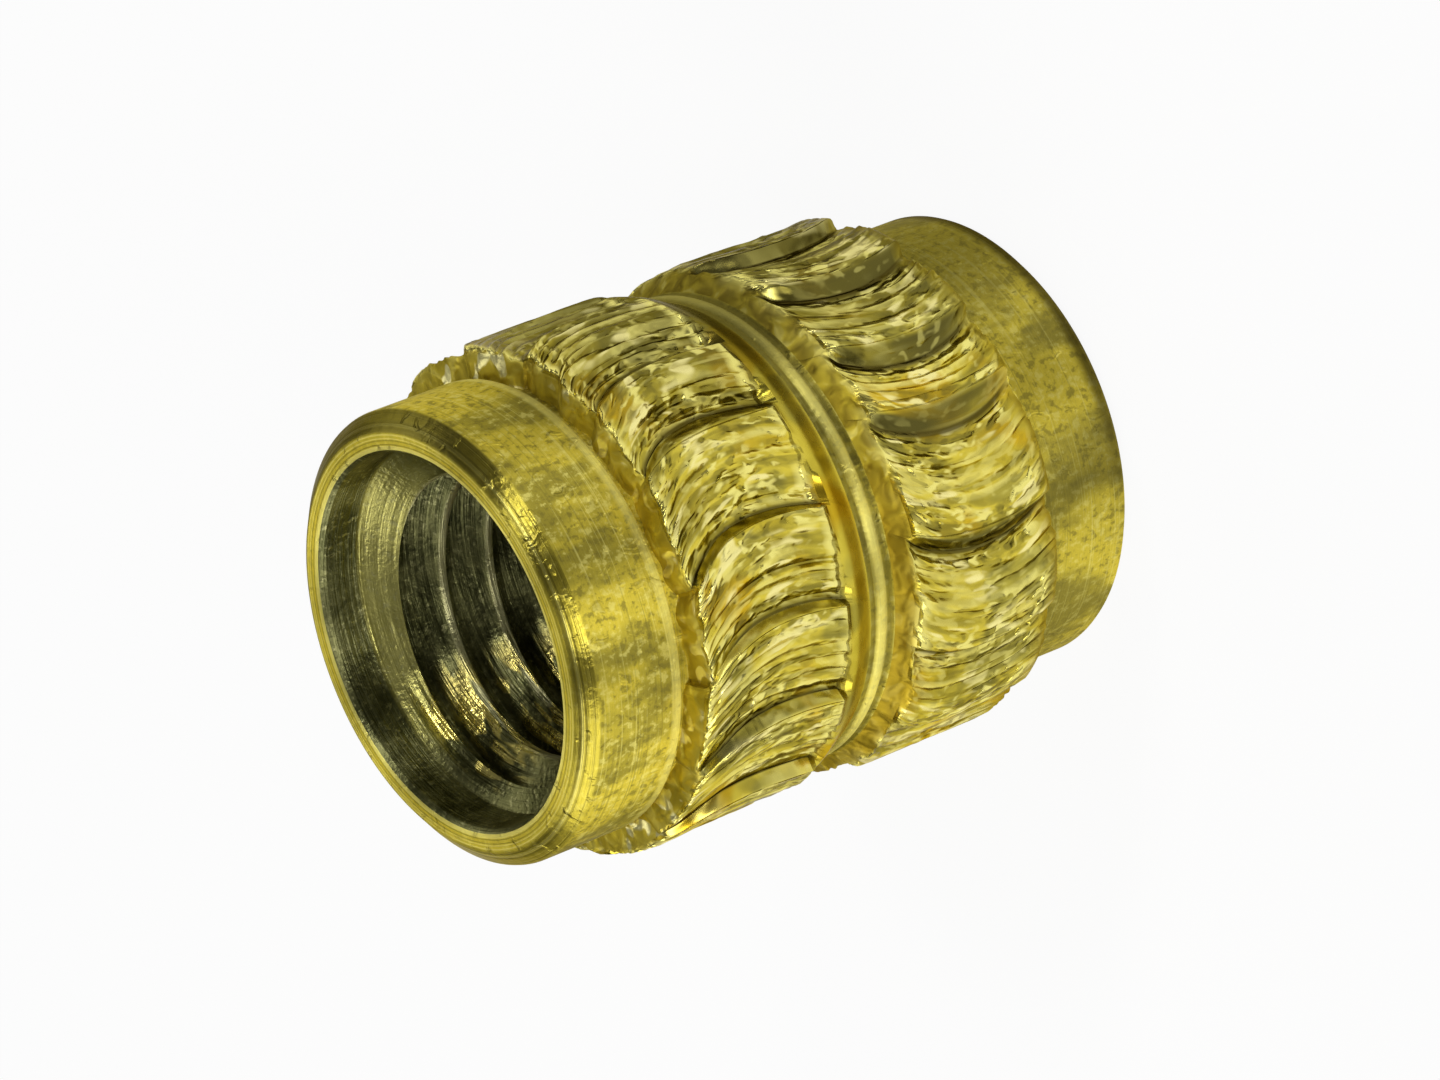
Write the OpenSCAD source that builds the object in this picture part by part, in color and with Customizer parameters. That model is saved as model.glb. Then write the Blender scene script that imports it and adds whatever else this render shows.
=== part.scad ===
// Threaded insert that is pressed or moulded into plastic or wood.
// One turned piece: a plain collar at each end, two raised bands of crescent-shaped
// barbs with a groove between them, and a bore that is threaded from mouth to tail.
// It stands on its tail face at z = 0 with its mouth up.

/* [Thread] */
// Nominal diameter of the screw
thread_d = 5; // [4:0.1:5.2]
// Rise of the thread in one turn
thread_pitch = 0.8; // [0.5:0.05:1]
// Width of the chamfer where the thread leaves the tail face
thread_exit = 0.45; // [0.1:0.05:0.6]

/* [Mouth] */
// Room round the screw in the plain mouth, on each side
mouth_clearance = 0.13; // [0.05:0.01:0.2]
// Depth of the plain mouth
mouth_depth = 0.65; // [0.3:0.05:1.4]
// Angle across the cone between the mouth and the thread
lead_in_angle = 120; // [60:5:150]
// Width of the broken edge round the mouth
mouth_edge = 0.07; // [0.02:0.01:0.1]

/* [Body] */
// Length over both faces
length = 9.5; // [8.5:0.1:14]
// Diameter of the plain collars, which guide the insert into its hole
collar_d = 6.4; // [6.3:0.05:6.6]
// Length of the plain collar at the mouth
mouth_collar = 1.6; // [1:0.05:2.2]
// Length of the plain collar at the tail
tail_collar = 1.65; // [1:0.05:2.2]
// Chamfer round the mouth face, measured across the face
mouth_chamfer = 0.27; // [0.1:0.01:0.3]
// The same chamfer, measured along the collar
mouth_chamfer_h = 0.22; // [0.1:0.01:0.4]
// Chamfer round the tail face, measured across the face
tail_chamfer = 0.16; // [0.05:0.01:0.3]
// Width of the narrow relief behind the mouth collar
relief_w = 0.12; // [0.05:0.01:0.3]
// Depth of that relief below the collar
relief_depth = 0.05; // [0.02:0.01:0.1]

/* [Bands] */
// Diameter over the barbs of the band next to the mouth
mouth_band_d = 7.25; // [7.1:0.05:8]
// Diameter over the barbs of the band next to the tail
tail_band_d = 7.35; // [7.1:0.05:8]
// Length of the band next to the mouth, with its slopes
mouth_band_w = 3.05; // [2.4:0.05:3.4]
// Width of the floor of the groove between the bands
groove_w = 0.3; // [0.1:0.05:0.8]
// Diameter at the floor of the groove
groove_d = 6.65; // [6.4:0.05:6.8]
// Length of the slope from the mouth band down to the groove
groove_slope = 0.57; // [0.2:0.01:0.8]
// Length of the steep wall from the groove up to the tail band
groove_wall = 0.22; // [0.05:0.01:0.3]
// Length of the shoulder from that wall to the crest of the tail band
groove_shoulder = 0.4; // [0.2:0.01:0.7]
// Height of that shoulder
groove_shoulder_h = 0.1; // [0.05:0.01:0.2]
// Length of the steep wall at the end of a band next to a collar
end_wall = 0.07; // [0.03:0.01:0.15]
// Length of the shoulder from that wall to the crest
end_shoulder = 0.25; // [0.1:0.01:0.4]
// Height of that shoulder
end_shoulder_h = 0.07; // [0.03:0.01:0.12]

/* [Barbs] */
// Barbs round each band
barbs = 15; // [10:1:20]
// Radius of the crescent edges of the band next to the mouth
mouth_barb_r = 2.4; // [2:0.1:3]
// Radius of the crescent edges of the band next to the tail
tail_barb_r = 2; // [1.9:0.1:3]
// From the mouth collar's end of its band to the furthest point of the crescents
mouth_apex = 1.45; // [1.2:0.05:1.7]
// From the tail collar's end of its band to the furthest point of the crescents
tail_apex = 1.21; // [1.1:0.01:1.5]
// Angle by which the tail band's barbs are turned back from the mouth band's
tail_turn = 3; // [0:0.5:12]
// Angle by which the gaps of the mouth band grow shallow towards their collar
run_out = 3.5; // [0:0.5:4]
// Height of a crescent edge above the foot of the next barb
barb_h = 0.2; // [0.08:0.01:0.22]
// How far the steep side of a barb leans back
barb_lean = 0.14; // [0.02:0.01:0.2]
// Share of the way to the next edge over which a barb's back falls
barb_fall = 0.74; // [0.6:0.01:0.85]
// Fine steps across the back of each barb
ripples = 3; // [1:1:5]
// Height of a fine step
ripple_h = 0.03; // [0.01:0.005:0.05]

/* [Hidden] */
$fn = 96;
BRASS = "#b5a642";
OVER = 0.5;                                          // reach of a cutting tool past the metal
BITE = 0.3;                                          // depth to which a band is sunk in the core
FIRST_BARB = -90;                                    // where the first barb of a band stands

minor_r = (thread_d - 1.0825 * thread_pitch) / 2;    // crests of an ISO internal thread
mouth_r = thread_d / 2 + mouth_clearance;
lead_in_h = (mouth_r - minor_r) / tan(lead_in_angle / 2);
collar_r = collar_d / 2;
relief_r = collar_r - relief_depth;
groove_r = groove_d / 2;
mouth_crest_r = mouth_band_d / 2;
tail_crest_r = tail_band_d / 2;

// stations along the body, up from the tail face
tail_band_top = length - mouth_collar - relief_w - mouth_band_w - groove_w;
mouth_band_foot = tail_band_top + groove_w;
mouth_band_top = mouth_band_foot + mouth_band_w;

// An end of a band is a steep wall and then a shoulder up to the crest:
// [length of the wall, length of the shoulder, height of the shoulder].
COLLAR_END = [end_wall, end_shoulder, end_shoulder_h];
TAIL_BAND_GROOVE_END = [groove_wall, groove_shoulder, groove_shoulder_h];
MOUTH_BAND_GROOVE_END = [0, groove_slope, mouth_crest_r - groove_r];

// The core between the bands' feet: collars, relief and groove floor.
module core() {
    rotate_extrude() polygon([
        [0, 0],
        [collar_r - tail_chamfer, 0],
        [collar_r, tail_chamfer],
        [collar_r, tail_collar + BITE],
        [groove_r, tail_collar + BITE],
        [groove_r, mouth_band_foot + BITE],
        [relief_r, mouth_band_foot + BITE],
        [relief_r, mouth_band_top + relief_w],
        [collar_r, mouth_band_top + relief_w],
        [collar_r, length - mouth_chamfer_h],
        [collar_r - mouth_chamfer, length],
        [0, length]
    ]);
}

// A plain raised band from z = foot to z = top.
module band(foot, top, foot_r, top_r, crest_r, tail_end, mouth_end) {
    inner_r = relief_r - BITE;
    rotate_extrude() polygon([
        [inner_r, foot],
        [foot_r, foot],
        [crest_r - tail_end[2], foot + tail_end[0]],
        [crest_r, foot + tail_end[0] + tail_end[1]],
        [crest_r, top - mouth_end[0] - mouth_end[1]],
        [crest_r - mouth_end[2], top - mouth_end[0]],
        [top_r, top],
        [inner_r, top]
    ]);
}

// Height of the back of a barb, d along the band from the foot of its neighbour's edge.
// The back rises in fine steps and meets the crest at barb_fall of the way.
function back(crest_r, d, fall) =
    sqrt(crest_r * crest_r - d * d) - barb_h * (1 - d / fall);

// The gap between one crescent edge and the next, as a cutting tool round a radial axis.
// bulge is 1 where the edges bow anticlockwise seen from the mouth, and -1 the other way.
// tilt lifts the tool towards the mouth, so that the gap runs out there.
module barb_gap(crest_r, barb_r, apex, reach, bulge, tilt) {
    fall = barb_fall * 2 * PI * crest_r / barbs;
    step = fall / ripples;
    half = asin(reach / (barb_r - barb_lean));
    section = concat(
        [[barb_r - barb_lean * (1 + OVER / barb_h), crest_r + OVER]],
        [for (i = [0 : ripples - 1]) each [
            [barb_r + i * step, back(crest_r, i * step, fall) - (i > 0 ? ripple_h : 0)],
            [barb_r + (i + 1) * step, back(crest_r, (i + 1) * step, fall)]
        ]],
        [[barb_r + fall + barb_lean, crest_r + OVER]]
    );
    translate([crest_r, 0, apex]) rotate([0, tilt, 0]) mirror([0, bulge < 0 ? 1 : 0, 0])
        translate([-crest_r, -barb_r, 0]) rotate([0, 90, 0]) rotate([0, 0, 90 - half])
            rotate_extrude(angle = 2 * half) polygon(section);
}

// Cuts the barbs of a band that lies between foot and top.
module cut_barbs(foot, top, crest_r, barb_r, apex, bulge, turn, tilt) {
    difference() {
        children();
        for (i = [0 : barbs - 1]) rotate([0, 0, turn + i * 360 / barbs])
            barb_gap(crest_r, barb_r, apex, max(apex - foot, top - apex), bulge, tilt);
    }
}

module tail_band() {
    cut_barbs(tail_collar, tail_band_top, tail_crest_r, tail_barb_r,
              tail_collar + tail_apex, -1, FIRST_BARB - tail_turn, 0)
        band(tail_collar, tail_band_top, collar_r, groove_r, tail_crest_r,
             COLLAR_END, TAIL_BAND_GROOVE_END);
}

module mouth_band() {
    cut_barbs(mouth_band_foot, mouth_band_top, mouth_crest_r, mouth_barb_r,
              mouth_band_top - mouth_apex, 1, FIRST_BARB, run_out)
        band(mouth_band_foot, mouth_band_top, groove_r, relief_r, mouth_crest_r,
             MOUTH_BAND_GROOVE_END, COLLAR_END);
}

// The bore, from the broken edge of the mouth down to the chamfer at the tail.
// The thread's ridges stand at minor_r and are not cut here.
module bore() {
    exit_r = minor_r + thread_exit;
    translate([0, 0, -OVER]) cylinder(r = minor_r, h = length + 2 * OVER);
    translate([0, 0, -OVER]) cylinder(r1 = exit_r + OVER, r2 = minor_r, h = thread_exit + OVER);
    translate([0, 0, length - mouth_depth]) cylinder(r = mouth_r, h = mouth_depth + OVER);
    translate([0, 0, length - mouth_depth - lead_in_h])
        cylinder(r1 = minor_r, r2 = mouth_r, h = lead_in_h);
    translate([0, 0, length - mouth_edge])
        cylinder(r1 = mouth_r, r2 = mouth_r + mouth_edge + OVER, h = mouth_edge + OVER);
}

module threaded_insert() {
    color(BRASS) difference() {
        union() {
            core();
            tail_band();
            mouth_band();
        }
        bore();
    }
}

threaded_insert();
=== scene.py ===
"""The threaded insert, dressed: a turned, gouged and tapped piece of brass on a pale floor."""
import math
from collections import namedtuple

import bpy
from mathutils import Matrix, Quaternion, Vector, noise


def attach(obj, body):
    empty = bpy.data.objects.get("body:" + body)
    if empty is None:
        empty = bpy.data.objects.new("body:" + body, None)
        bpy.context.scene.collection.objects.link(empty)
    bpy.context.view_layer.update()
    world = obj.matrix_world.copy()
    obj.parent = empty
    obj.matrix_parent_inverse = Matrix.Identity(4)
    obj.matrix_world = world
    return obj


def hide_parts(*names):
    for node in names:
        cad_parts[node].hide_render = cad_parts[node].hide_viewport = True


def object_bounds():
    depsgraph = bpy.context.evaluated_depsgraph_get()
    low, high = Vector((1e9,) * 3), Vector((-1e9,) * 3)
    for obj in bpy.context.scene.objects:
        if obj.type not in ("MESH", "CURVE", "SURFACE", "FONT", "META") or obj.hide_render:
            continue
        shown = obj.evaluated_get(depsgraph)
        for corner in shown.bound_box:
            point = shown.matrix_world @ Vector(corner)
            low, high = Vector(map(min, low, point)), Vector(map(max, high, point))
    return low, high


MM = 0.001

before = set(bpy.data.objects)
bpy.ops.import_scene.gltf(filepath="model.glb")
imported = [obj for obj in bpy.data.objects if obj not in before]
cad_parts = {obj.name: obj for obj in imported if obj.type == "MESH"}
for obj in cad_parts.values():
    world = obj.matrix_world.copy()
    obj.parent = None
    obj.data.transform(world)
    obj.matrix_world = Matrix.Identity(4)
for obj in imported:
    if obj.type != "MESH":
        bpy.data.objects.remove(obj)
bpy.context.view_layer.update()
lowest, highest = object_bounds()
centre = (lowest + highest) / 2

# ---------------------------------------------------------------- sizes, in millimetres
# Heights are above the tail face, on which the insert stands with its mouth up.

LENGTH = (highest.z - lowest.z) / MM
COLLAR = 3.2                 # radius of the plain ends
GROOVE = 3.325               # radius of the groove's floor
RELIEF = 3.15                # radius of the narrow relief behind the mouth collar

TAIL_FOOT = 1.65             # the band next to the tail
TAIL_TOP = 4.43
TAIL_CREST = 3.66
MOUTH_FOOT = 4.73            # the band next to the mouth
MOUTH_TOP = 7.845
MOUTH_CREST = 3.62

BARBS = 15
COLUMNS = 56                 # mesh columns for each barb
WALL_COLUMNS = 12            # of them, the ones on its steep wall
RING = BARBS * COLUMNS
LAY_RADIUS = 3.6             # radius at which the tool marks of a band are laid out

BARB_DEPTH = 0.215           # from a barb's edge down to the foot of the next one's back
FURROW = 0.185               # spacing of the furrows along a barb
FURROW_DEPTH = 0.032
CHIP_DEPTH = 0.026

THREAD_D = 5.0
THREAD_PITCH = 0.8
MINOR = (THREAD_D - 1.0825 * THREAD_PITCH) / 2
THREAD_START = 0.17          # how far up the first full groove begins
PILOT = 1.95                 # radius of the hole before it is tapped
MOUTH_BORE = 2.63            # radius of the plain mouth

# ---------------------------------------------------------------- camera and light

CAMERA_AZIMUTH = -1.5        # degrees round the insert from straight in front
CAMERA_ELEVATION = 33.68     # degrees above the floor
CAMERA_ROLL = 111.26         # degrees by which the camera is rolled, so that the insert lies over
CAMERA_DISTANCE = 108.97 * MM
CAMERA_LENS = 200.0          # millimetres, on a sensor 36 mm wide
AIM_FROM_CENTRE = Vector((-0.073, -0.015, -0.026)) * MM

LAMP_DISTANCE = 0.30         # metres from the insert
STUDIO_GREY = (0.12, 0.12, 0.115, 1)

# Name, azimuth, elevation, width and height in metres, and how bright the box's face looks.
SOFT_BOXES = [
    ("side_box", -90, 27, 0.38, 0.18, 2.7),
    ("key_box", -20, 28, 0.08, 0.18, 6.0),
    ("strip_box", 50, 27, 0.03, 0.18, 8.0),
    ("top_box", 57, 59, 0.04, 0.05, 22.0),
    ("fill_box", 130, 27, 0.16, 0.16, 1.4),
    ("back_box", 178, 34, 0.10, 0.10, 2.5),
]


def from_angles(azimuth, elevation):
    """The unit vector that points from the insert towards an azimuth and elevation."""
    a = math.radians(azimuth)
    e = math.radians(elevation)
    return Vector((math.sin(a) * math.cos(e), -math.cos(a) * math.cos(e), math.sin(e)))


def add_camera():
    back = from_angles(CAMERA_AZIMUTH, CAMERA_ELEVATION)
    lens = bpy.data.cameras.new("product_camera")
    lens.lens = CAMERA_LENS
    lens.sensor_width = 36.0
    lens.clip_start = 1 * MM
    lens.clip_end = 10.0
    camera = bpy.data.objects.new("product_camera", lens)
    bpy.context.collection.objects.link(camera)
    camera.location = centre + AIM_FROM_CENTRE + back * CAMERA_DISTANCE
    upright = (-back).to_track_quat("-Z", "Y")
    camera.rotation_mode = "QUATERNION"
    camera.rotation_quaternion = upright @ Quaternion((0, 0, 1), math.radians(-CAMERA_ROLL))
    bpy.context.scene.camera = camera


def soft_box(name, azimuth, elevation, width, height, brightness):
    """A soft box that faces the insert."""
    lamp = bpy.data.lights.new(name, "AREA")
    lamp.shape = "RECTANGLE"
    lamp.size = width
    lamp.size_y = height
    lamp.energy = brightness * math.pi * width * height
    box = bpy.data.objects.new(name, lamp)
    bpy.context.collection.objects.link(box)
    back = from_angles(azimuth, elevation)
    box.location = centre + back * LAMP_DISTANCE
    box.rotation_mode = "QUATERNION"
    box.rotation_quaternion = back.to_track_quat("Z", "Y")


def add_lights():
    world = bpy.data.worlds.new("studio")
    bpy.context.scene.world = world
    world.use_nodes = True
    world.node_tree.nodes["Background"].inputs["Color"].default_value = STUDIO_GREY
    for box in SOFT_BOXES:
        soft_box(*box)


# ---------------------------------------------------------------- material maths

class Sum:
    """A number or colour on its way through a material, so that its maths reads as maths."""

    def __init__(self, tree, socket):
        self.tree = tree
        self.socket = socket

    def node(self, kind, inputs, out=0, **settings):
        """One new node, with its settings made first and then its sockets filled or linked."""
        n = self.tree.nodes.new(kind)
        for key, value in settings.items():
            setattr(n, key, value)
        for key, value in inputs.items():
            if isinstance(value, Sum):
                self.tree.links.new(value.socket, n.inputs[key])
            else:
                n.inputs[key].default_value = value
        return Sum(self.tree, n.outputs[out])

    def output(self, name):
        """Another output of the same node."""
        return Sum(self.tree, self.socket.node.outputs[name])

    def maths(self, operation, first, second):
        return self.node("ShaderNodeMath", {0: first, 1: second}, operation=operation)

    def __add__(self, other):
        return self.maths("ADD", self, other)

    def __radd__(self, other):
        return self.maths("ADD", other, self)

    def __sub__(self, other):
        return self.maths("SUBTRACT", self, other)

    def __rsub__(self, other):
        return self.maths("SUBTRACT", other, self)

    def __mul__(self, other):
        return self.maths("MULTIPLY", self, other)

    def __rmul__(self, other):
        return self.maths("MULTIPLY", other, self)

    def __truediv__(self, other):
        return self.maths("DIVIDE", self, other)

    def __rtruediv__(self, other):
        return self.maths("DIVIDE", other, self)

    def between(self, low, high):
        """0 at low and before it, 1 at high and past it, eased in between."""
        return self.node("ShaderNodeMapRange", {"Value": self, "From Min": low, "From Max": high},
                         interpolation_type="SMOOTHSTEP")

    def inside(self, low, high, rise, fall=None):
        """1 inside low and high and 0 outside, eased over rise at low and over fall at high."""
        return self.between(low, low + rise) * self.between(high, high - (fall or rise))

    def scaled(self, x, y, z):
        return self.node("ShaderNodeVectorMath", {0: self, 1: (x, y, z)}, operation="MULTIPLY")

    def grain(self, detail=2.0, roughness=0.5, distortion=0.0):
        return self.node("ShaderNodeTexNoise", {"Vector": self, "Scale": 1.0, "Detail": detail,
                         "Roughness": roughness, "Distortion": distortion})

    def blend(self, colour_a, colour_b):
        """The first colour where this number is 0, and the second where it is 1."""
        return self.node("ShaderNodeMix", {0: self, 6: colour_a, 7: colour_b}, out=2,
                         data_type="RGBA")

    def painted(self, colour, where):
        """This colour with another laid over it where the number is above 0."""
        return where.blend(self, colour)


# ---------------------------------------------------------------- the floor

FLOOR_RADIUS = 1.5           # metres
FLOOR_WHITE = (0.9, 0.9, 0.9, 1)
GLOW_WHITE = (1, 1, 1, 1)
FLOOR_GLOW = 0.92            # share of the glow in what the camera and the metal see of the floor


def floor_paint():
    """Matt white that takes the insert's shadow, and looks whiter than the lamps make it."""
    paint = bpy.data.materials.new("floor_paint")
    paint.use_nodes = True
    tree = paint.node_tree
    tree.nodes.remove(tree.nodes["Principled BSDF"])
    start = Sum(tree, None)
    ray = start.node("ShaderNodeLightPath", {}, out="Is Camera Ray")
    seen = start.maths("MAXIMUM", ray, ray.output("Is Glossy Ray"))
    seen = start.maths("MAXIMUM", seen, ray.output("Is Transmission Ray"))
    matt = start.node("ShaderNodeBsdfDiffuse", {"Color": FLOOR_WHITE})
    glow = start.node("ShaderNodeEmission", {"Color": GLOW_WHITE})
    surface = start.node("ShaderNodeMixShader", {0: seen * FLOOR_GLOW, 1: matt, 2: glow})
    tree.links.new(surface.socket, tree.nodes["Material Output"].inputs["Surface"])
    return paint


def add_floor():
    bpy.ops.mesh.primitive_circle_add(vertices=64, radius=FLOOR_RADIUS, fill_type="NGON")
    floor = bpy.context.object
    floor.name = "floor"
    floor.data.materials.append(floor_paint())


# ---------------------------------------------------------------- the lathe work

def along(x, stations):
    """Straight-line reading of a list of (x, y) stations."""
    if x <= stations[0][0]:
        return stations[0][1]
    for (x0, y0), (x1, y1) in zip(stations, stations[1:]):
        if x <= x1:
            return y0 + (y1 - y0) * (x - x0) / (x1 - x0)
    return stations[-1][1]


def smooth(x):
    """0 up to x = 0, 1 from x = 1 on, eased in between."""
    x = min(max(x, 0.0), 1.0)
    return x * x * (3 - 2 * x)


def swell(x, middle, width):
    """A smooth hump, 1 at its middle."""
    return math.exp(-((x - middle) / width) ** 2)


def spread(a, b, count):
    return [round(a + (b - a) * i / count, 3) for i in range(count + 1)]


# The outlines of the bands before they are gouged, as (height, radius).
TAIL_TURNED = [(TAIL_FOOT, COLLAR), (1.69, 3.56), (1.74, 3.62), (1.80, 3.645), (1.97, TAIL_CREST),
               (3.84, TAIL_CREST), (4.00, 3.645), (4.12, 3.61), (4.20, 3.565), (4.26, 3.50),
               (4.31, 3.42), (4.37, 3.355), (TAIL_TOP, GROOVE)]
MOUTH_TURNED = [(MOUTH_FOOT, GROOVE), (4.80, 3.335), (4.90, 3.375), (5.15, 3.51), (5.30, 3.56),
                (5.36, 3.60), (5.44, MOUTH_CREST), (7.66, MOUTH_CREST), (7.73, 3.60),
                (7.775, 3.56), (7.805, 3.48), (7.825, 3.34), (7.835, 3.22), (MOUTH_TOP, RELIEF)]

# Heights of the mesh rows on each band, close together where the outline turns.
TAIL_ROWS = (spread(TAIL_FOOT, 1.74, 3) + spread(1.80, 1.97, 1) + spread(2.09, 3.89, 15)
             + spread(3.97, 4.12, 2) + spread(4.17, TAIL_TOP, 5))
MOUTH_ROWS = (spread(MOUTH_FOOT, 4.90, 3) + spread(4.98, 5.22, 3) + spread(5.30, 5.44, 3)
              + spread(5.55, 7.51, 16)
              + [7.60, 7.66, 7.70, 7.73, 7.755, 7.775, 7.792, 7.805, 7.825, 7.835, MOUTH_TOP])

# The rest of the outline, as (radius, height).
BORE_START = [(PILOT, 0.567), (2.517, 0.0), (2.78, 0.0), (3.02, 0.0)]
TAIL_END = [(3.06, 0.015), (3.18, 0.13), (COLLAR, 0.17), (COLLAR, 0.6), (COLLAR, 1.2),
            (COLLAR, 1.58)]
BEAD = [(GROOVE - 0.01, 4.48), (GROOVE + 0.02, 4.53), (GROOVE + 0.03, 4.58),
        (GROOVE + 0.02, 4.63), (GROOVE - 0.01, 4.68)]
MOUTH_COLLAR = [(RELIEF, 7.862), (RELIEF, 7.885), (3.17, 7.90), (3.195, 7.93), (COLLAR, 8.0),
                (COLLAR, 8.5), (COLLAR, 9.0), (COLLAR, 9.25)]
MOUTH_FACE = [(3.185, 9.295), (2.955, 9.488), (2.92, 9.5), (2.80, 9.5), (2.715, 9.5),
              (2.685, 9.488), (2.64, 9.43)]
MOUTH_HOLE = [(MOUTH_BORE, 9.38), (MOUTH_BORE, 9.1), (MOUTH_BORE, 8.88), (2.615, 8.84),
              (2.08, 8.532), (PILOT, 8.457), (PILOT, 4.5)]

# The whole outline, up the outside and back down the bore, each point with its part's name.
profile = ([(r, z, "tail") for r, z in BORE_START + TAIL_END]
           + [(round(along(z, TAIL_TURNED), 3), z, "tail band") for z in TAIL_ROWS]
           + [(r, z, "groove") for r, z in BEAD]
           + [(round(along(z, MOUTH_TURNED), 3), z, "mouth band") for z in MOUTH_ROWS]
           + [(r, z, "mouth") for r, z in MOUTH_COLLAR + MOUTH_FACE + MOUTH_HOLE])


# ---------------------------------------------------------------- the barbs

# What a barb's chance numbers are for.
DEPTH = 1
STEPS = 3
PLATEAU = 4
ENDS = 7

ARC_HALF = 1.45              # from the furthest point of an arc to its ends, along the band
ARC_LIMIT = 0.86             # share of its radius past which an arc runs straight on
LEAST_WALL = 0.05            # width of a wall at the ends of its arc

# Between these heights each band is cut by the gouge. Past them it is as it was turned.
TAIL_CUT_FROM = 1.70
TAIL_CUT_TO = 4.18
MOUTH_CUT_FROM = 5.33
MOUTH_CUT_TO = 7.795
SLOPE_TOP = 7.0              # below it, the uncut part of the mouth band is its slope
SLOPE_SHADE = 0.45            # how far that part gets the painted shade of a furrow

# Where a point of the blank lies among the barbs: the barb behind it, the way from its foot
# (0 to 1 on the back and 1 to 2 on the next wall), the distance from that foot, the width of
# the wall, and the angle round the axis.
Spot = namedtuple("Spot", "barb way distance wall angle")


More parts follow.
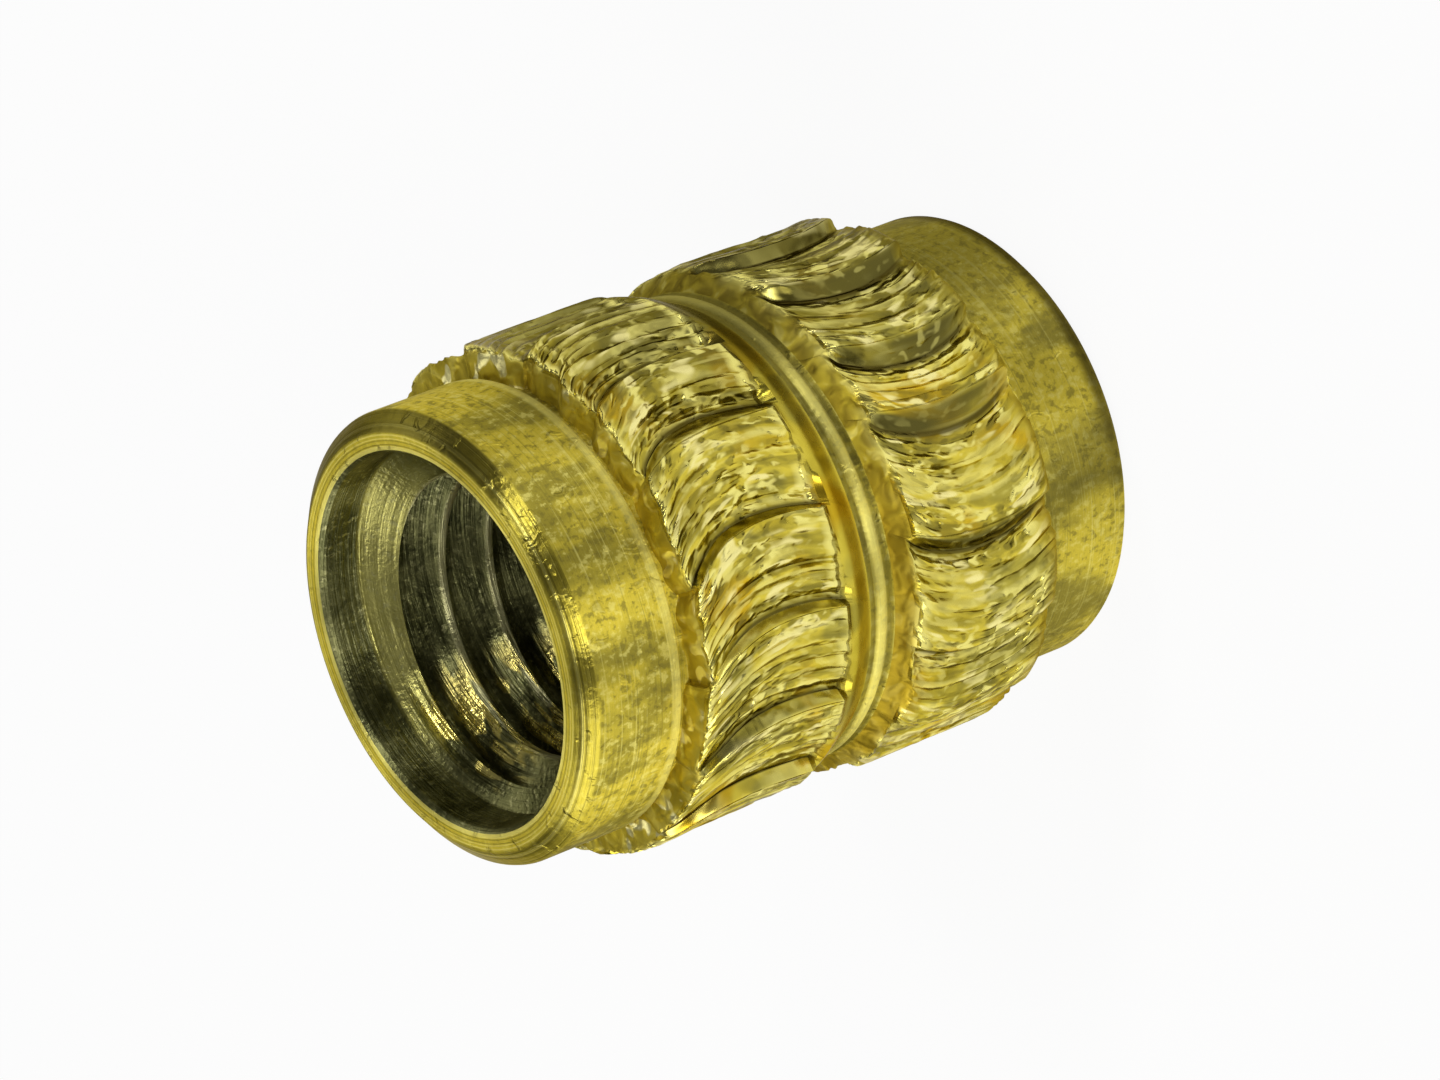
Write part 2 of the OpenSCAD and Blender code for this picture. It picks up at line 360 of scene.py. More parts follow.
class Band:
    """A raised band of barbs, cut by a round gouge that leaves rows of arcs."""

    def __init__(self, crest, apex, bow, reach, seed, barbs):
        self.crest = crest
        self.apex = apex             # height of the furthest point of the arcs
        self.bow = bow               # 1 where the arcs bow anticlockwise seen from the mouth, or -1
        self.low_radius, self.high_radius = reach   # of the arcs below and above that point
        self.seed = seed
        # feet and wall widths, in the order in which the walls face
        self.feet, self.walls = zip(*sorted((bow * angle, wall) for angle, wall in barbs))

    def chance(self, barb, what):
        """A number from -1 to 1 that belongs to one barb."""
        value = 2.4 * noise.noise(Vector((barb * 7.31, what * 3.77, self.seed)))
        return max(-1.0, min(1.0, value))

    def sag(self, z):
        """How far the arc through the foot of a barb has fallen back at height z."""
        radius = self.low_radius if z < self.apex else self.high_radius
        d = min(abs(z - self.apex), radius * ARC_LIMIT)
        return radius - math.sqrt(radius * radius - d * d)

    def column(self, c, z):
        """Where a mesh column lies among the barbs at height z."""
        k, j = divmod(c, COLUMNS)
        n = (k + 1) % BARBS
        a0 = self.feet[k]
        a1 = self.feet[n] + (360 if n == 0 else 0)
        pitch = math.radians(a1 - a0) * self.crest
        bend = 1 - min(1.0, abs(z - self.apex) / ARC_HALF) ** 2
        wall = LEAST_WALL + max(self.walls[n] - LEAST_WALL, 0.0) * bend
        back = COLUMNS - WALL_COLUMNS
        if j <= back:
            way = j / back
            distance = (pitch - wall) * j / back
        else:
            way = 1 + (j - back) / WALL_COLUMNS
            distance = pitch - wall + wall * (way - 1)
        angle = math.radians(a0) + (distance - self.sag(z)) / self.crest
        return Spot(k, way, distance, wall, self.bow * angle)

    def cut_depth(self, barb, z):
        """How deep the gouge goes at the foot of a barb's back."""
        return (BARB_DEPTH + 0.03 * self.chance(barb, DEPTH)) * self.depth_left(z)

    def rise(self, spot, z, at, stroke, patch):
        """A barb's back, which rises in fine steps: depth, roughness, painted shade at its foot, and
        its furrows with their painted shade.
        """
        following = (spot.barb + 1) % BARBS
        # the steps take up this share of the way, and the rest is a plateau before the edge
        plateau = 0.66 + 0.14 * self.chance(following, PLATEAU)
        steps = 3 + int(1.2 * (1 + self.chance(following, STEPS)))
        wander = noise.noise(Vector((at.x * 0.8, at.y * 0.8, at.z * 0.35)))
        f = (spot.way / plateau + 0.06 * wander) * steps
        if f < steps:
            i = math.floor(max(f, 0.0))
            fall = (i + smooth((f - i - 0.5) / 0.5)) / steps
            depth = self.cut_depth(spot.barb, z) * (1 - fall) + 0.02 * stroke
        else:
            depth = 0.008 * stroke
        # the furrows: how deep they are cut, and how much painted shade they get
        hollow_and_shade = self.furrow(spot, at, 1.1 * wander + 0.5 * stroke)
        depth += FURROW_DEPTH * hollow_and_shade
        rim = smooth((spot.way - 0.80) / 0.10)
        start = swell(spot.distance, 0.17, 0.14)
        rough = max(0.35 + 0.65 * patch, rim, start)
        # painted shade close to the foot
        crevice_shade = math.exp(-spot.distance / 0.075)
        return depth, rough, crevice_shade, hollow_and_shade

    def furrow(self, spot, at, shift):
        """The gouge's chatter: narrow furrows along the arc, in patches."""
        wave = 0.5 - 0.5 * math.cos(2 * math.pi * (spot.distance / FURROW + shift))
        strength = 0.25 + 0.75 * smooth(0.7 + 1.6 * noise.noise(at * 0.8 + Vector((2, 7, 1))))
        strength *= smooth(spot.distance / 0.10) * (1 - smooth((spot.way - 0.93) / 0.07))
        return strength * wave

    def drop(self, spot, z, stroke, patch):
        """The steep wall down to the following foot: depth, roughness, painted shade at its bottom,
        and painted shade over the wall.
        """
        following = (spot.barb + 1) % BARBS
        f = spot.way - 1
        depth = self.cut_depth(following, z) * (0.45 * f + 0.55 * smooth(f)) + 0.006 * stroke
        rough = 0.12 + 0.25 * patch
        # painted shade at the bottom of the wall
        crevice_shade = smooth((f - 0.75) / 0.25)
        # painted shade over the steep wall
        hollow_and_shade = 3.0 * smooth(f / 0.3) * smooth((spot.wall - 0.04) / 0.14) * (0.9 + 0.6 * stroke)
        return depth, rough, crevice_shade, hollow_and_shade

    def cut(self, spot, r, z):
        """Where a point of the turned band ends up, what the gouge leaves on it, and the painted
        shade and highlight that go with it.
        """
        lay_angle = spot.angle + self.bow * self.sag(z) / self.crest
        at = Vector((LAY_RADIUS * math.cos(lay_angle), LAY_RADIUS * math.sin(lay_angle),
                     z + self.seed))
        stroke = noise.noise(Vector((at.x * 4.5, at.y * 4.5, at.z * 0.7)))
        chip = noise.noise(at * 4.0) + 0.6 * noise.noise(at * 9.0)
        patch = smooth(0.25 + 2.4 * noise.noise(at * 1.15 + Vector((9, 3, 5))))
        if spot.way <= 1.0:
            depth, rough, crevice_shade, hollow_and_shade = self.rise(spot, z, at, stroke, patch)
        else:
            depth, rough, crevice_shade, hollow_and_shade = self.drop(spot, z, stroke, patch)
        depth = (depth + rough * CHIP_DEPTH * chip) * self.run_out(z)
        radius = min(r, self.crest - depth)

        # the gouge stops short of the band's ends, in ragged toes
        jag = 0.05 * noise.noise(at * 3.4 + Vector((4, 1, 8)))
        cut, toe_highlight = self.ends(z, jag)
        # painted highlight along the ragged ends of the cuts, in patches
        toe_highlight *= smooth(0.7 + 2.6 * noise.noise(at * 2.6))
        # the uncut slope gets painted shade, as dark as part of a furrow
        if self.on_slope(z):
            hollow_and_shade = hollow_and_shade * cut + SLOPE_SHADE * (1 - cut)
            side = 0.0
        else:
            hollow_and_shade = hollow_and_shade * cut
            side = 1 - cut

        # the ends of the barbs are ragged: they stop short or reach out
        z -= self.pull(spot, z, noise.noise(at * 3.1))
        return max(radius, RELIEF), z, lay_angle, (cut, rough, crevice_shade, 1.0), (hollow_and_shade, side, toe_highlight, 1.0)


class MouthBand(Band):
    """The band next to the mouth, with a slope down to the groove."""

    def depth_left(self, z):
        """The barbs lose half their height towards the collar."""
        return 1 - 0.5 * smooth((z - 6.7) / 1.1)

    def run_out(self, z):
        """The gouge comes out of the metal on the slope."""
        return smooth((z - 5.12) / 0.30)

    def ends(self, z, jag):
        """Whether the gouge has been here, and how strong a painted highlight goes on its ragged end.
        """
        cut = smooth((z + jag - MOUTH_CUT_FROM) / 0.05)
        cut *= smooth((MOUTH_CUT_TO - z + min(jag, 0)) / 0.03)
        return cut, max(swell(z, 5.42, 0.06), swell(z, 7.73, 0.05))

    def on_slope(self, z):
        return z < SLOPE_TOP

    def pull(self, spot, z, ragged):
        """How far a point at the collar's end is pulled back from it."""
        corner = abs(2 * min(spot.way, 1.0) - 1) ** 3
        pull = 0.08 * corner + 0.04 * self.chance(spot.barb, ENDS) + 0.07 * ragged
        return max(pull, -0.01) * smooth((z - 6.9) / 0.85)


class TailBand(Band):
    """The band next to the tail, with a wall at each end."""

    def depth_left(self, z):
        """The barbs are equally high all along."""
        return 1.0

    def run_out(self, z):
        """The gouge lifts a little before it reaches the groove."""
        return 1 - 0.6 * smooth((z - 3.98) / 0.3)

    def ends(self, z, jag):
        """Whether the gouge has been here, and how strong a painted highlight goes on its ragged end.
        """
        cut = smooth((z - TAIL_CUT_FROM) / 0.2) * smooth((TAIL_CUT_TO + jag - z) / 0.04)
        return cut, swell(z, 4.10, 0.10)

    def on_slope(self, z):
        return False

    def pull(self, spot, z, ragged):
        """How far a point at the groove's end is pulled back from it."""
        high_side = smooth((spot.way - 0.25) / 0.5) if spot.way <= 1 else 1.0
        pull = 0.03 * high_side + 0.02 * self.chance(spot.barb, ENDS) + 0.06 * ragged
        return max(pull, 0.0) * smooth((z - 3.5) / 0.7) * (1 - smooth((z - 4.20) / 0.15))


def ring_of_barbs(listed, widest, seed):
    """The barbs listed, and the rest of the ring spaced out behind them, a little unevenly."""
    ring = sorted(listed)
    rest = BARBS - len(ring)
    last = ring[-1][0]
    gap = (ring[0][0] + 360 - last) / (rest + 1)
    for i in range(rest):
        play = noise.noise(Vector((i * 5.3, seed, 0.5)))
        width = widest * (0.7 + 0.6 * noise.noise(Vector((i * 3.9, seed, 4.5))))
        ring.append((last + gap * (i + 1) + 2.5 * play, width))
    return ring


# The front barbs, as (angle round the axis with -90 straight in front, width of the wall).
MOUTH_BARBS = [(-46.0, 0.22), (-64.5, 0.34), (-90.2, 0.13), (-112.5, 0.12), (-135.5, 0.14)]
TAIL_BARBS = [(-47.5, 0.3), (-71.0, 0.38), (-88.5, 0.46), (-116.0, 0.36), (-141.5, 0.2)]

mouth_band = MouthBand(crest=MOUTH_CREST, apex=6.34, bow=1, reach=(3.0, 1.95), seed=11.3,
                       barbs=ring_of_barbs(MOUTH_BARBS, 0.2, 1.7))
tail_band = TailBand(crest=TAIL_CREST, apex=2.86, bow=-1, reach=(1.95, 1.95), seed=29.9,
                     barbs=ring_of_barbs(TAIL_BARBS, 0.3, 6.2))


def nearest_turn(angle, to):
    """The same angle with whole turns added, so that it is nearest to another."""
    return angle + 2 * math.pi * round((to - angle) / (2 * math.pi))


def apart(a, b):
    return abs(b - nearest_turn(a, b))


# The tail band's column that meets the mouth band's first one in the groove.
first_angle = mouth_band.column(0, MOUTH_FOOT).angle
TAIL_TURN = min(range(RING), key=lambda c: apart(first_angle, tail_band.column(c, TAIL_TOP).angle))


def spot_in_tail(c, z):
    return tail_band.column((TAIL_TURN - c) % RING, max(z, TAIL_FOOT))


def spot_in_mouth(c, z):
    return mouth_band.column(c, min(z, MOUTH_TOP))


def angle_in_groove(c, z):
    """The angle of a mesh column on its way from one band to the other."""
    a0 = spot_in_tail(c, TAIL_TOP).angle
    a1 = nearest_turn(spot_in_mouth(c, MOUTH_FOOT).angle, a0)
    return a0 + (a1 - a0) * (z - TAIL_TOP) / (MOUTH_FOOT - TAIL_TOP)


# ---------------------------------------------------------------- turning, gouging, tapping

WELD = 0.0005                # points nearer to each other than this become one
TAP_STEPS = 120
TAP_TURNS = 15
TAP_REACH = 1.3              # how far below the tail face the tap starts
SHARP_ANGLE = 32             # degrees from which an edge shows
UNCUT = (0.0, 0.0, 0.0, 1.0)


def edit_mesh():
    bpy.ops.object.mode_set(mode="EDIT")
    bpy.ops.mesh.select_all(action="SELECT")


def object_mode():
    bpy.ops.object.mode_set(mode="OBJECT")


def select_only(piece):
    bpy.ops.object.select_all(action="DESELECT")
    bpy.context.view_layer.objects.active = piece
    piece.select_set(True)


def draw_profile(points, name):
    """A profile drawn point by point on the plane of the axis, left in edit mode."""
    bpy.ops.object.select_all(action="DESELECT")
    bpy.ops.mesh.primitive_plane_add(size=0.1, location=(0, 0, 0))
    piece = bpy.context.object
    piece.name = name
    edit_mesh()
    bpy.ops.mesh.merge(type="CENTER")
    r, z = points[0][:2]
    bpy.ops.transform.translate(value=(r, 0, z))
    for point in points[1:]:
        bpy.ops.mesh.extrude_vertices_move(
            TRANSFORM_OT_translate={"value": (point[0] - r, 0, point[1] - z)})
        r, z = point[:2]
    return piece


def screw_round(piece, steps, rise=0.0, turns=1):
    """Turns a profile round the axis, rising as a thread does if asked."""
    object_mode()
    screw = piece.modifiers.new("screw", "SCREW")
    screw.axis = "Z"
    screw.steps = steps
    screw.render_steps = steps
    screw.iterations = turns
    screw.screw_offset = rise
    screw.use_merge_vertices = True
    screw.merge_threshold = WELD
    bpy.ops.object.modifier_apply(modifier=screw.name)
    edit_mesh()
    bpy.ops.mesh.remove_doubles(threshold=WELD)


def turn_blank():
    """The blank: its whole profile turned once round the axis."""
    blank = draw_profile(profile + [profile[0]], "brass_insert")
    bpy.ops.mesh.select_all(action="SELECT")
    bpy.ops.mesh.remove_doubles(threshold=WELD)
    screw_round(blank, RING)
    bpy.ops.mesh.normals_make_consistent(inside=False)
    object_mode()
    return blank


def gouged_point(c, r, z, zone):
    """Where a point of the blank goes: angle, radius, height, angle of its lay, and marks."""
    if zone == "groove":
        angle = angle_in_groove(c, z)
        return angle, r, z, angle, UNCUT, UNCUT
    spot = spot_in_tail(c, z) if zone.startswith("tail") else spot_in_mouth(c, z)
    if zone == "tail band":
        return spot.angle, *tail_band.cut(spot, r, z)
    if zone == "mouth band":
        return spot.angle, *mouth_band.cut(spot, r, z)
    return spot.angle, r, z, spot.angle, UNCUT, UNCUT


def gouge(blank):
    """Raises the barbs, and stores on each point how the tool has left it, with its painted shade and
    highlight.
    """
    rows = {(round(r, 3), round(z, 3)): (r, z, zone) for r, z, zone in profile}
    mesh = blank.data
    for name, kind in (("lay", "FLOAT_VECTOR"), ("finish", "FLOAT_COLOR"), ("form", "FLOAT_COLOR")):
        mesh.attributes.new(name, kind, "POINT")
    lay = mesh.attributes["lay"]
    finish = mesh.attributes["finish"]
    form = mesh.attributes["form"]
    for v in mesh.vertices:
        x, y, z = v.co
        c = round(math.atan2(y, x) / (2 * math.pi) * RING) % RING
        row = rows[(round(math.hypot(x, y), 3), round(z, 3))]
        angle, r, z, lay_angle, marks, shapes = gouged_point(c, *row)
        v.co = (r * math.cos(angle), r * math.sin(angle), z)
        lay.data[v.index].vector = (LAY_RADIUS * math.cos(lay_angle),
                                    LAY_RADIUS * math.sin(lay_angle), z)
        finish.data[v.index].color = marks
        form.data[v.index].color = shapes


def make_tap():
    """The tap: one turn of thread profile, screwed up the axis, and closed outside the insert."""
    flat = THREAD_PITCH / 8
    flank = (THREAD_PITCH - flat - flat) / 2
    major = THREAD_D / 2
    turn = [(MINOR, 0.0), (MINOR, flat - 0.03), (MINOR + 0.025, flat + 0.015),
            (MINOR + 0.09, flat + 0.055), (major, flat + flank), (major, flat + flank + flat),
            (MINOR, THREAD_PITCH)]
    tap = draw_profile([(r, z - TAP_REACH + THREAD_START) for r, z in turn], "tap")
    screw_round(tap, TAP_STEPS, rise=THREAD_PITCH, turns=TAP_TURNS)
    bpy.ops.mesh.select_all(action="DESELECT")
    bpy.ops.mesh.select_mode(type="EDGE")
    bpy.ops.mesh.select_non_manifold(extend=False, use_wire=False, use_multi_face=False,
                                     use_non_contiguous=False, use_verts=False)
    bpy.ops.mesh.fill()
    bpy.ops.mesh.select_all(action="SELECT")
    bpy.ops.mesh.normals_make_consistent(inside=False)
    bpy.ops.mesh.select_mode(type="VERT")
    object_mode()
    return tap


def cut_thread(blank, tap):
    select_only(blank)
    boolean = blank.modifiers.new("tap", "BOOLEAN")
    boolean.operation = "DIFFERENCE"
    boolean.solver = "EXACT"
    boolean.object = tap
    bpy.ops.object.modifier_apply(modifier=boolean.name)
    bpy.data.objects.remove(tap, do_unlink=True)


def to_size(piece):
    """From millimetres to metres, with the place and size in the mesh."""
    select_only(piece)
    piece.scale = (MM, MM, MM)
    bpy.ops.object.transform_apply(location=True, rotation=True, scale=True)
    bpy.ops.object.shade_smooth_by_angle(angle=math.radians(SHARP_ANGLE))


# ---------------------------------------------------------------- brass

BRASS = (0.56, 0.44, 0.038, 1)
BRIGHT = (0.75, 0.61, 0.065, 1)
PALE = (0.94, 0.85, 0.24, 1)
GLINT = (1.0, 0.90, 0.36, 1)
SPARK = (1.0, 0.93, 0.45, 1)
STAINED = (0.36, 0.30, 0.042, 1)
DULL = (0.22, 0.185, 0.035, 1)
AMBER = (0.66, 0.42, 0.012, 1)
OLIVE = (0.36, 0.32, 0.06, 1)
# dark olive: the tone of the furrows, and painted shade
FURROW_AND_SHADE = (0.105, 0.09, 0.02, 1)
BROWN = (0.25, 0.18, 0.015, 1)
TAN = (0.50, 0.39, 0.035, 1)
DEEP_BROWN = (0.30, 0.20, 0.012, 1)
# near black: painted shade at the feet of the barbs and on the tail rim, over some tarnish at the
# feet
FOOT_SHADE = (0.06, 0.045, 0.008, 1)
BORE_DARK = (0.10, 0.102, 0.04, 1)
BORE_PALE = (0.22, 0.215, 0.085, 1)
CONE = (0.62, 0.57, 0.17, 1)
RIDGE = (0.66, 0.62, 0.32, 1)
SPECK = (0.50, 0.48, 0.22, 1)
# painted glints in the bore
GLINT_GOLD = (1.0, 0.84, 0.24, 1)
EDGE_TINT = (0.62, 0.57, 0.44, 1)     # of what the metal reflects at a grazing angle

# How deep the bumps of each finish are, in metres.
TURNED_BUMPS = 0.00003
TAPPED_BUMPS = 0.00004
GOUGED_BUMPS = 0.00007

LATHE_STREAK = 0.88          # how far each finish streaks its reflections, from 0 to 1
TAP_STREAK = 0.7
QUARTER_TURN = 0.25          # of the streaks, so that they run across the tool's rings


class Where:
    """Where on the insert a point of a material lies, in millimetres."""

    def __init__(self, start):
        place = start.node("ShaderNodeTexCoord", {}, out="Object")
        self.point = place.scaled(1 / MM, 1 / MM, 1 / MM)
        self.radius = start.node("ShaderNodeVectorMath", {0: self.point.scaled(1, 1, 0)},
                                 out="Value", operation="LENGTH")
        self.height = start.node("ShaderNodeSeparateXYZ", {0: self.point}, out=2)

    def facing(self, angle):
        """1 on the side of the insert that faces an angle round it, down to -1 behind."""
        a = math.radians(angle)
        towards = self.point.node("ShaderNodeVectorMath",
                                  {0: self.point, 1: (math.cos(a), math.sin(a), 0)},
                                  out="Value", operation="DOT_PRODUCT")
        return towards / self.radius

    def shaded_side(self):
        """Painted shade: one side of the insert darker than the rest, fading out towards the mouth
        face.
        """
        return self.facing(-14).between(0.40, 0.95) * self.height.between(9.6, 5.5)


def read_marks(start, name):
    """Three numbers that were stored together on the mesh."""
    stored = start.node("ShaderNodeAttribute", {}, out="Color", attribute_name=name)
    first = start.node("ShaderNodeSeparateColor", {0: stored})
    return first, first.output("Green"), first.output("Blue")


def start_metal(name, streak, turn):
    """A metal that streaks its reflections across the tool marks by the share streak."""
    paint = bpy.data.materials.new(name)
    paint.use_nodes = True
    metal = paint.node_tree.nodes["Principled BSDF"]
    metal.inputs["Metallic"].default_value = 1.0
    metal.inputs["Specular Tint"].default_value = EDGE_TINT
    metal.inputs["Anisotropic"].default_value = streak
    metal.inputs["Anisotropic Rotation"].default_value = turn
    return paint, metal, Sum(paint.node_tree, None)


def finish_metal(start, metal, colour, gloss, bumps, depth):
    bump = start.node("ShaderNodeBump", {"Height": bumps, "Strength": 1.0, "Distance": depth},
                      out="Normal")
    start.tree.links.new(colour.socket, metal.inputs["Base Color"])
    start.tree.links.new(gloss.socket, metal.inputs["Roughness"])
    start.tree.links.new(bump.socket, metal.inputs["Normal"])


def paint_mouth_face(colour, where, face_rings):
    """Bright rings on the mouth face, a painted highlight along the mouth's edge, and painted shade
    on the chamfer, deepest on its shaded side.
    """
    face = where.height.between(LENGTH - 0.26, LENGTH - 0.20)
    lip_highlight = face * where.radius.inside(2.62, 2.76, 0.04)
    chamfer = face * where.radius.between(2.90, 2.95)
    shade = where.facing(10).between(0.0, 0.7)
    colour = colour.painted(BRIGHT, face * 0.6)
    colour = colour.painted(PALE, face * face_rings.between(0.54, 0.64) * 0.5)
    colour = colour.painted(DULL, face * face_rings.between(0.46, 0.36) * 0.5)
    # painted highlight along the mouth's edge
    colour = colour.painted(PALE, lip_highlight * 0.7)
    # painted shade on the chamfer, deepest on its shaded side
    colour = colour.painted(FURROW_AND_SHADE, chamfer * (shade * 0.6 + 0.25))
    return colour, chamfer


def paint_tail(colour, where, stains):
    """The tail collar with painted shade: darker towards its foot, a patch of painted shade across it
    on one side, and painted shade along its rim.
    """
    foot = where.height.between(2.0, 1.2)
    # painted shade across one side of the collar
    shade_patch = where.facing(-106).between(0.975, 0.999) * where.height.between(1.7, 0.5)
    # painted shade along the rim on one side
    rim = where.height.between(0.40, 0.20) * where.facing(-40).between(0.1, 0.7)
    # painted shade, darker towards the foot
    colour = colour.painted(DULL, foot * 0.24)
    colour = colour.painted(DULL, stains.between(0.52, 0.38) * foot * 0.5)
    colour = colour.painted(FURROW_AND_SHADE, shade_patch * 0.6)
    return colour.painted(FOOT_SHADE, rim * 0.85)


def paint_groove(colour, where, shaded_side):
    """Painted shade in the groove either side of its rounded ridge, deeper on the shaded side, and
    painted highlights along that ridge and along the lower edge of the mouth collar.
    """
    groove = where.height.inside(4.36, 4.82, 0.06)
    bead_highlight = where.height.inside(4.46, 4.70, 0.07)
    burr_highlight = where.height.inside(7.88, 8.10, 0.05, 0.08)
    # painted shade in the groove either side of its ridge, and a painted highlight along the ridge
    colour = colour.painted(FURROW_AND_SHADE, (groove - bead_highlight) * 0.60)
    colour = colour.painted(PALE, bead_highlight * 0.60)
    # painted shade on the shaded side of the groove
    colour = colour.painted(DULL, groove * shaded_side * 0.60)
    # painted highlight along the lower edge of the mouth collar
    return colour.painted(PALE, burr_highlight * 0.55)


def turned_brass():
    """Lathe work: fine rings round the axis, with stains and small knocks over them, and painted
    shade and highlights laid on top.
    """
    paint, metal, start = start_metal("turned_brass", LATHE_STREAK, QUARTER_TURN)
    where = Where(start)
    rings = where.point.scaled(0.3, 0.3, 22).grain(3, 0.6)
    face_rings = start.node("ShaderNodeTexNoise", {"W": where.radius * 24, "Scale": 1.0,
                            "Detail": 3.0}, noise_dimensions="1D")
    stains = where.point.scaled(1.1, 1.1, 0.45).grain(3, 0.65)
    specks = where.point.scaled(8, 8, 7).grain(3, 0.6)
    knocks = where.point.scaled(4, 4, 3.5).grain(2, 0.5, 0.6)
    shaded_side = where.shaded_side()
    colour = stains.between(0.36, 0.58).blend(STAINED, BRIGHT)
    colour = colour.painted(PALE, specks.between(0.52, 0.66) * 0.50)
    colour = colour.painted(DULL, specks.between(0.48, 0.34) * 0.65)
    colour = colour.painted(PALE, rings.between(0.56, 0.68) * 0.45)
    colour = colour.painted(DULL, rings.between(0.44, 0.32) * 0.40)
    colour = colour.painted(DULL, knocks.between(0.62, 0.74) * 0.25)
    colour, chamfer = paint_mouth_face(colour, where, face_rings)
    # painted shade on one side of the insert
    colour = colour.painted(FURROW_AND_SHADE, shaded_side * 0.55)
    colour = paint_tail(colour, where, stains)
    colour = paint_groove(colour, where, shaded_side)
    gloss = stains.between(0.3, 0.7) * 0.10 + rings * 0.14 + 0.40 - chamfer * 0.18
    bumps = rings * 0.35 + face_rings * 0.4 + specks * 0.25 + knocks.between(0.60, 0.72) * 0.3
    finish_metal(start, metal, colour, gloss, bumps, TURNED_BUMPS)
    return paint


def tapped_brass():
    """The bore: dull metal, coloured darker than the outside, that never saw a polishing wheel, with
    painted light on one side of the lead-in and painted glints down one side of the thread.
    """
    paint, metal, start = start_metal("tapped_brass", TAP_STREAK, QUARTER_TURN)
    where = Where(start)
    rings = where.point.scaled(0.4, 0.4, 16).grain(3, 0.6)
    stains = where.point.scaled(1.4, 1.4, 1.4).grain(4, 0.7)
    specks = where.point.scaled(11, 11, 11).grain(2, 0.6)
    tears = where.point.scaled(1.6, 1.6, 9.0).grain(1, 0.5, 0.4)
    # painted light on one side of the lead-in
    lit_cone = where.height.inside(8.50, 8.92, 0.06, 0.10) * where.facing(60).between(0.35, 0.9)
    ridge = where.radius.between(2.10, 2.07) * where.height.between(8.6, 8.5)
    # painted glints: streaks of highlight on the thread, on one side of the bore
    patch = where.facing(125).between(0.84, 0.99) * where.radius.between(2.5, 2.35)
    glint_streaks = patch * tears.between(0.46, 0.54)
    colour = stains.between(0.35, 0.65).blend(BORE_DARK, BORE_PALE)
    colour = colour.painted(CONE, lit_cone * 0.8)
    colour = colour.painted(RIDGE, ridge * 0.7)
    colour = colour.painted(SPECK, specks.between(0.55, 0.70) * 0.5)
    colour = colour.painted(GLINT_GOLD, glint_streaks * 0.9)
    gloss = stains.between(0.3, 0.7) * 0.12 + 0.32 - glint_streaks * 0.12
    bumps = rings * 0.6 + specks * 0.3 + patch * (tears + rings) * 1.8
    finish_metal(start, metal, colour, gloss, bumps, TAPPED_BUMPS)
    return paint


def paint_end_walls(where, crumbs, wall_glints):
    """The uncut walls at the ends of the bands: crumbly, browner, a deeper brown on one side of the
    tail band, with painted glints at the mouth.
    """
    # a deeper brown on one side of the tail band
    browner_side = where.height.between(5.0, 4.6) * where.facing(-142).between(0.45, 0.9)
    wall = crumbs.between(0.58, 0.34).blend(TAN, BROWN)
    wall = wall.painted(PALE, crumbs.between(0.56, 0.66) * 0.45)
    wall = wall.painted(DEEP_BROWN, browner_side * 0.8)
    wall = wall.painted(BRIGHT, where.height.between(7.0, 7.5) * 0.4)
    return wall.painted(SPARK, wall_glints * 0.95)


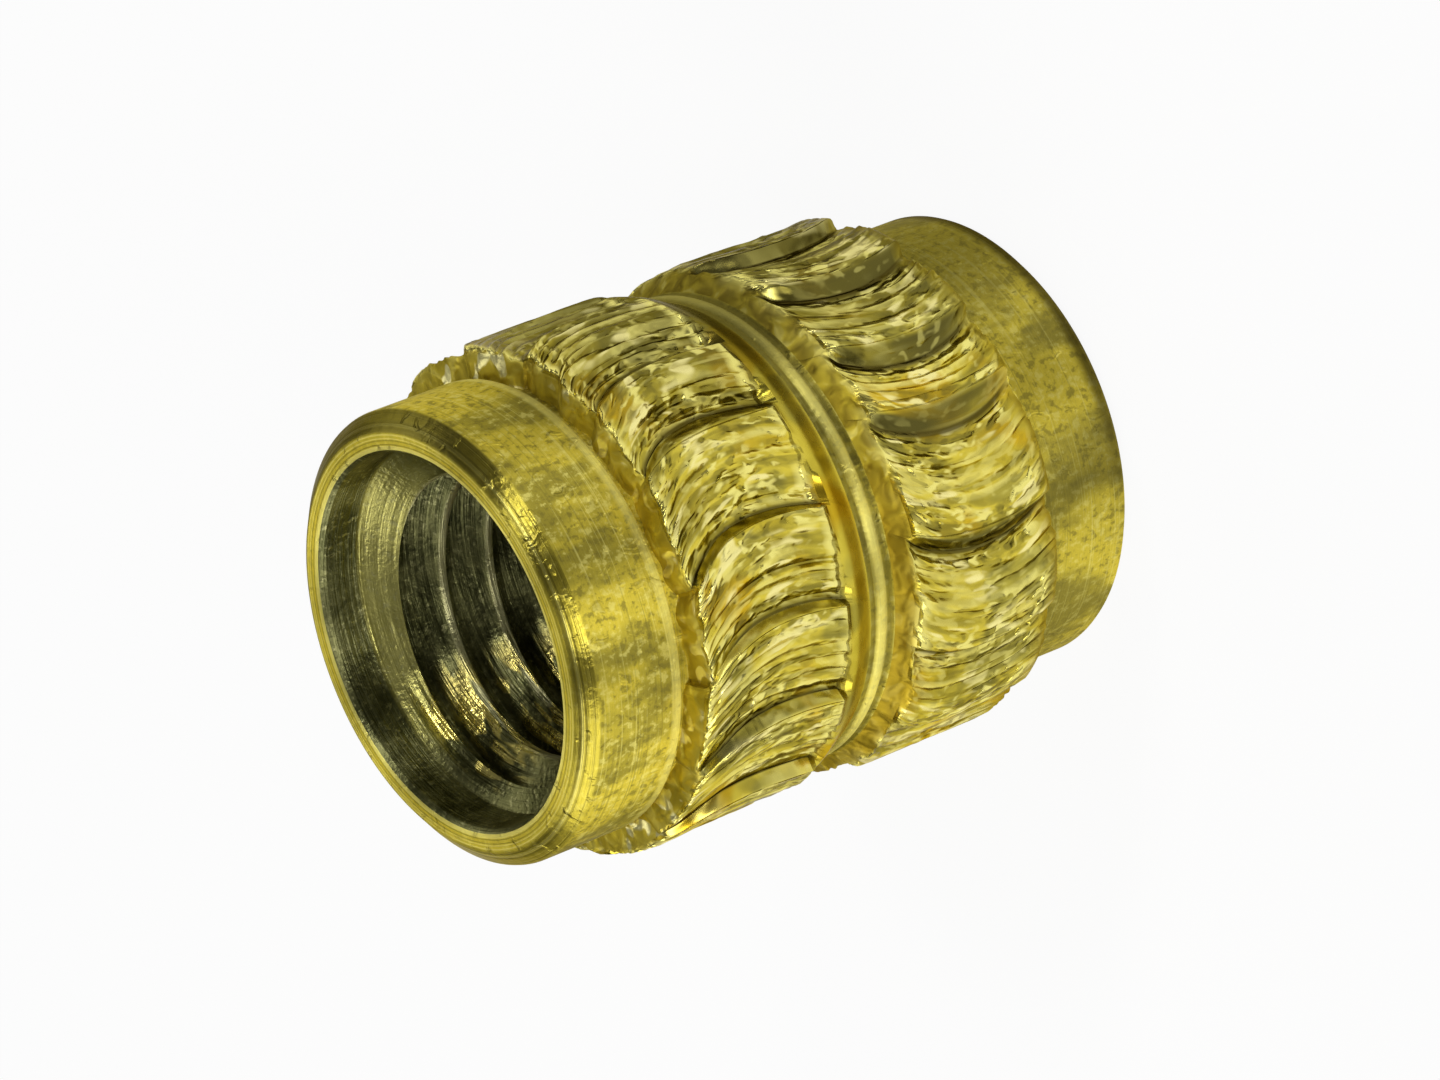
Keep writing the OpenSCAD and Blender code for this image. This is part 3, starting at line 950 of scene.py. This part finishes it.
def gouged_brass():
    """The cut bands: furrows along each arc, broken chips on the rims, painted shade at the feet and
    in the furrows, and painted highlights and glints.
    """
    paint, metal, start = start_metal("gouged_brass", 0.0, 0.0)
    where = Where(start)
    lay = start.node("ShaderNodeAttribute", {}, out="Vector", attribute_name="lay")
    cut, rough, crevice_shade = read_marks(start, "finish")
    hollow_and_shade, side, toe_highlight = read_marks(start, "form")
    mottle = where.point.scaled(1.2, 1.2, 1.2).grain(3, 0.6)
    amber = where.point.scaled(0.9, 0.9, 0.9).grain(1, 0.5)
    crumbs = where.point.scaled(3.8, 3.8, 3.8).grain(1, 0.5, 0.5)
    wall_glints = where.point.scaled(3.2, 3.2, 3.2).grain(1, 0.4, 0.4)
    strokes = lay.scaled(5.6, 5.6, 1.7).grain(1, 0.5, 0.5)
    arcs = lay.scaled(6.6, 6.6, 0.45).grain(1, 0.4, 0.2)
    chips = lay.scaled(8.0, 8.0, 4.2).grain(1, 0.5, 0.3)
    glints = lay.scaled(3.4, 3.4, 1.5).grain(1, 0.4, 0.3)
    glints = glints.between(0.56, 0.63) * strokes.between(0.46, 0.56) * (cut - hollow_and_shade * 0.6)
    # painted glints on the end wall at the mouth
    wall_glints = wall_glints.between(0.57, 0.64) * where.height.between(6.9, 7.3)
    # painted shade: a darker stripe down the bands at one angle
    shade_stripe = where.facing(-10).between(0.94, 0.985) * cut
    shaded_side = where.shaded_side()
    colour = mottle.between(0.32, 0.56).blend(BRASS, BRIGHT)
    colour = colour.painted(AMBER, amber.between(0.54, 0.64) * 0.8)
    colour = colour.painted(OLIVE, amber.between(0.42, 0.34) * 0.7)
    # painted shade on one side of the insert
    colour = colour.painted(FURROW_AND_SHADE, shaded_side * 0.80)
    # light and dark streaks along the tool marks: partly their own tone, partly painted shade in
    # their valleys and painted highlight on their crests
    colour = colour.painted(FURROW_AND_SHADE, strokes.between(0.50, 0.32) * cut * 0.38)
    colour = colour.painted(PALE, strokes.between(0.53, 0.68) * cut * 0.50)
    colour = colour.painted(FURROW_AND_SHADE, arcs.between(0.47, 0.37) * cut * 0.38)
    colour = colour.painted(PALE, arcs.between(0.54, 0.64) * cut * 0.40)
    # painted shade in the furrows and over the barbs' steep walls
    colour = colour.painted(FURROW_AND_SHADE, hollow_and_shade * 0.30)
    colour = colour.painted(PALE, chips.between(0.53, 0.66) * rough * cut * 0.9)
    colour = colour.painted(FURROW_AND_SHADE, chips.between(0.47, 0.35) * rough * cut * 0.56)
    colour = colour.painted(GLINT, glints * 0.9)
    colour = colour.painted(FURROW_AND_SHADE, shade_stripe * 0.5)
    colour = colour.painted(paint_end_walls(where, crumbs, wall_glints), side * 0.92)
    # more painted shade on that side, most on the end walls
    colour = colour.painted(FURROW_AND_SHADE, shaded_side * (side * 0.25 + 0.20))
    # painted highlight along the ragged ends of the cuts
    colour = colour.painted(PALE, toe_highlight * (where.height.between(4.4, 4.2) * 0.085 + 0.85))
    # painted shade at each barb's foot, over some tarnish there
    colour = colour.painted(FOOT_SHADE, crevice_shade.between(0.15, 0.9) * (cut * 0.75 + 0.15))
    gloss = mottle.between(0.3, 0.7) * 0.08 + side * (0.25 - wall_glints * 0.15) + 0.23
    bumps = cut * (strokes * 0.8 + arcs * 0.7 + rough * chips * 1.4) + side * crumbs
    finish_metal(start, metal, colour, gloss, bumps, GOUGED_BUMPS)
    return paint


# The materials' places on the insert, in the order in which finish_faces adds them.
TURNED = 0
GOUGED = 1
TAPPED = 2
BORE_LIMIT = 2.9             # radius inside which a face belongs to the bore or an end face
END_DEPTH = 0.04             # height from either end within which it belongs to the end face


def finish_of(radius, z):
    """Which finish a face has, from where its middle lies."""
    if radius < BORE_LIMIT:
        return TURNED if z > LENGTH - END_DEPTH or z < END_DEPTH else TAPPED
    in_tail_band = TAIL_FOOT + 0.05 < z < TAIL_TOP - 0.03
    in_mouth_band = MOUTH_FOOT + 0.03 < z < MOUTH_TOP + 0.015
    return GOUGED if (in_tail_band or in_mouth_band) and radius > RELIEF + 0.01 else TURNED


def finish_faces(piece):
    """Turned brass all over, gouged brass on the bands and tapped brass in the bore."""
    piece.data.materials.clear()
    for paint in (turned_brass(), gouged_brass(), tapped_brass()):
        piece.data.materials.append(paint)
    for face in piece.data.polygons:
        x, y, z = face.center / MM
        face.material_index = finish_of(math.hypot(x, y), z)


# ---------------------------------------------------------------- the scene

add_camera()
add_lights()
bpy.ops.object.select_all(action="DESELECT")
add_floor()

insert = turn_blank()
gouge(insert)
cut_thread(insert, make_tap())
to_size(insert)
finish_faces(insert)
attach(insert, "root")
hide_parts("threaded_insert")

bpy.context.scene.view_settings.view_transform = "Standard"
